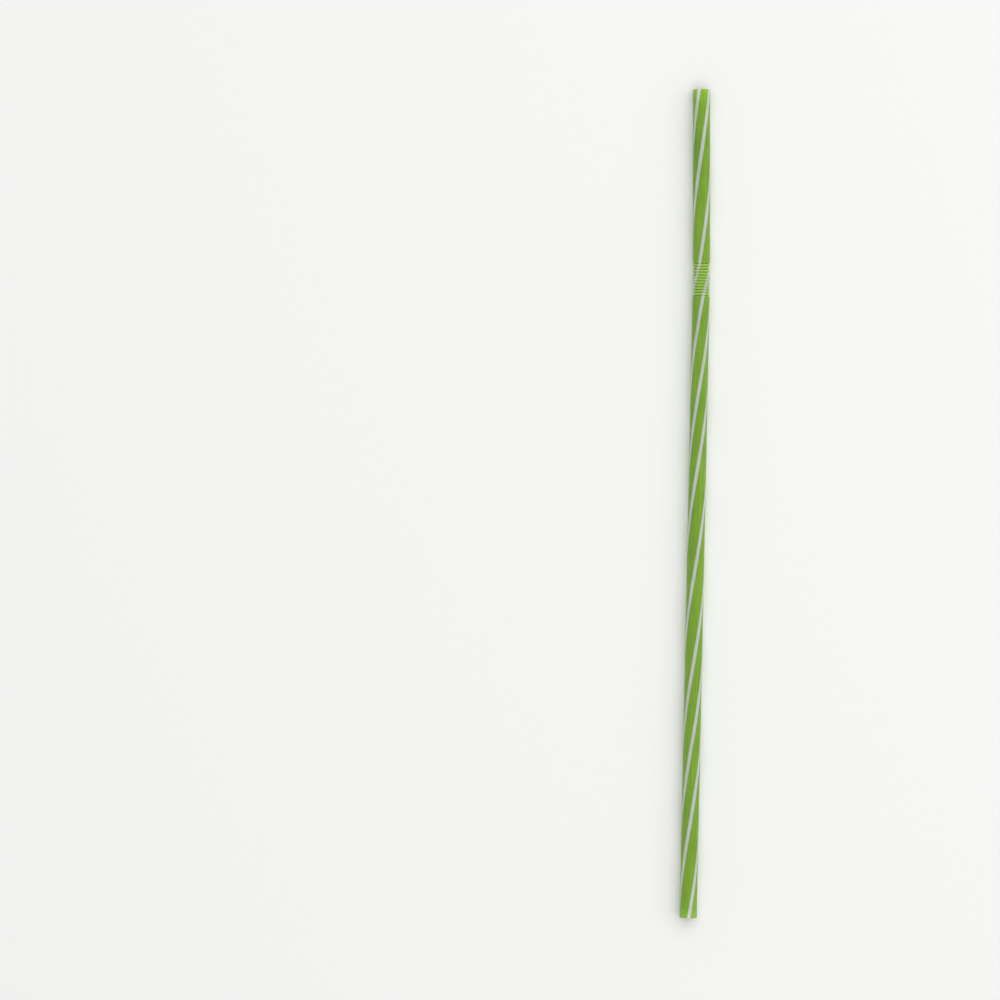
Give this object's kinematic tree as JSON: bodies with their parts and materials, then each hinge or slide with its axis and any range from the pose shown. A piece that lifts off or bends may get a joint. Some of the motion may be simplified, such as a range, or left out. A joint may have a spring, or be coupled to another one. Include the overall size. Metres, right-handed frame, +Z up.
{
  "type": "flexible drinking straw",
  "caption": "Bendy drinking straw: a long thin plastic tube with a pleated flexible section near the mouth end and helical white stripes.",
  "frame": {"origin": "bottom centre of the bounding box, under the middle of the straw's length, on the surface that the straw lies on", "axes": "+Y along the straw from its foot end to its mouth end, +Z up from the surface that it lies on, +X across"},
  "size_m": [0.0062, 0.24, 0.005],
  "materials": {
    "green_plastic": "thin extruded polypropylene, lime green with four flush white stripes, soft gloss"
  },
  "bodies": {
    "root": {"straw": "green_plastic"}
  },
  "joints": []
}
